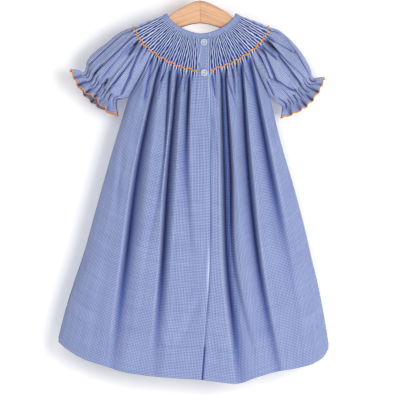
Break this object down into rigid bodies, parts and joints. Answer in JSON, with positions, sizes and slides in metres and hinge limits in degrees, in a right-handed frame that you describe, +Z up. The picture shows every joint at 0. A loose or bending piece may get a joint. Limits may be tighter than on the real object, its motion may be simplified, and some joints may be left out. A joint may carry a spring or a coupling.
{
  "type": "smocked dress on hanger",
  "caption": "Child's short-sleeved dress with a smocked yoke, buttoned back and frilled sleeves, hanging hollow on a wooden hanger.",
  "frame": {"origin": "inner top of the hanger's hook, where a rail or peg carries it", "axes": "+Z up, +X to the right of someone who looks at the dress's back, and the buttoned back faces -Y"},
  "size_m": [0.4334, 0.078, 0.6706],
  "materials": {
    "gingham": "matt woven cotton in a small two-tone check",
    "binding": "matt woven cotton, cut on the bias",
    "wood": "satin clear lacquer over light wood",
    "steel": "bright plated wire",
    "button": "gloss, slightly clear"
  },
  "bodies": {
    "root": {"back_left": "gingham", "back_right": "gingham", "front": "gingham", "sleeve_left": "gingham", "sleeve_right": "gingham", "neck_binding": "binding", "placket": "gingham", "button_1": "button", "button_2": "button", "hanger_arm_left": "wood", "hanger_arm_right": "wood", "hook": "steel"}
  },
  "joints": []
}
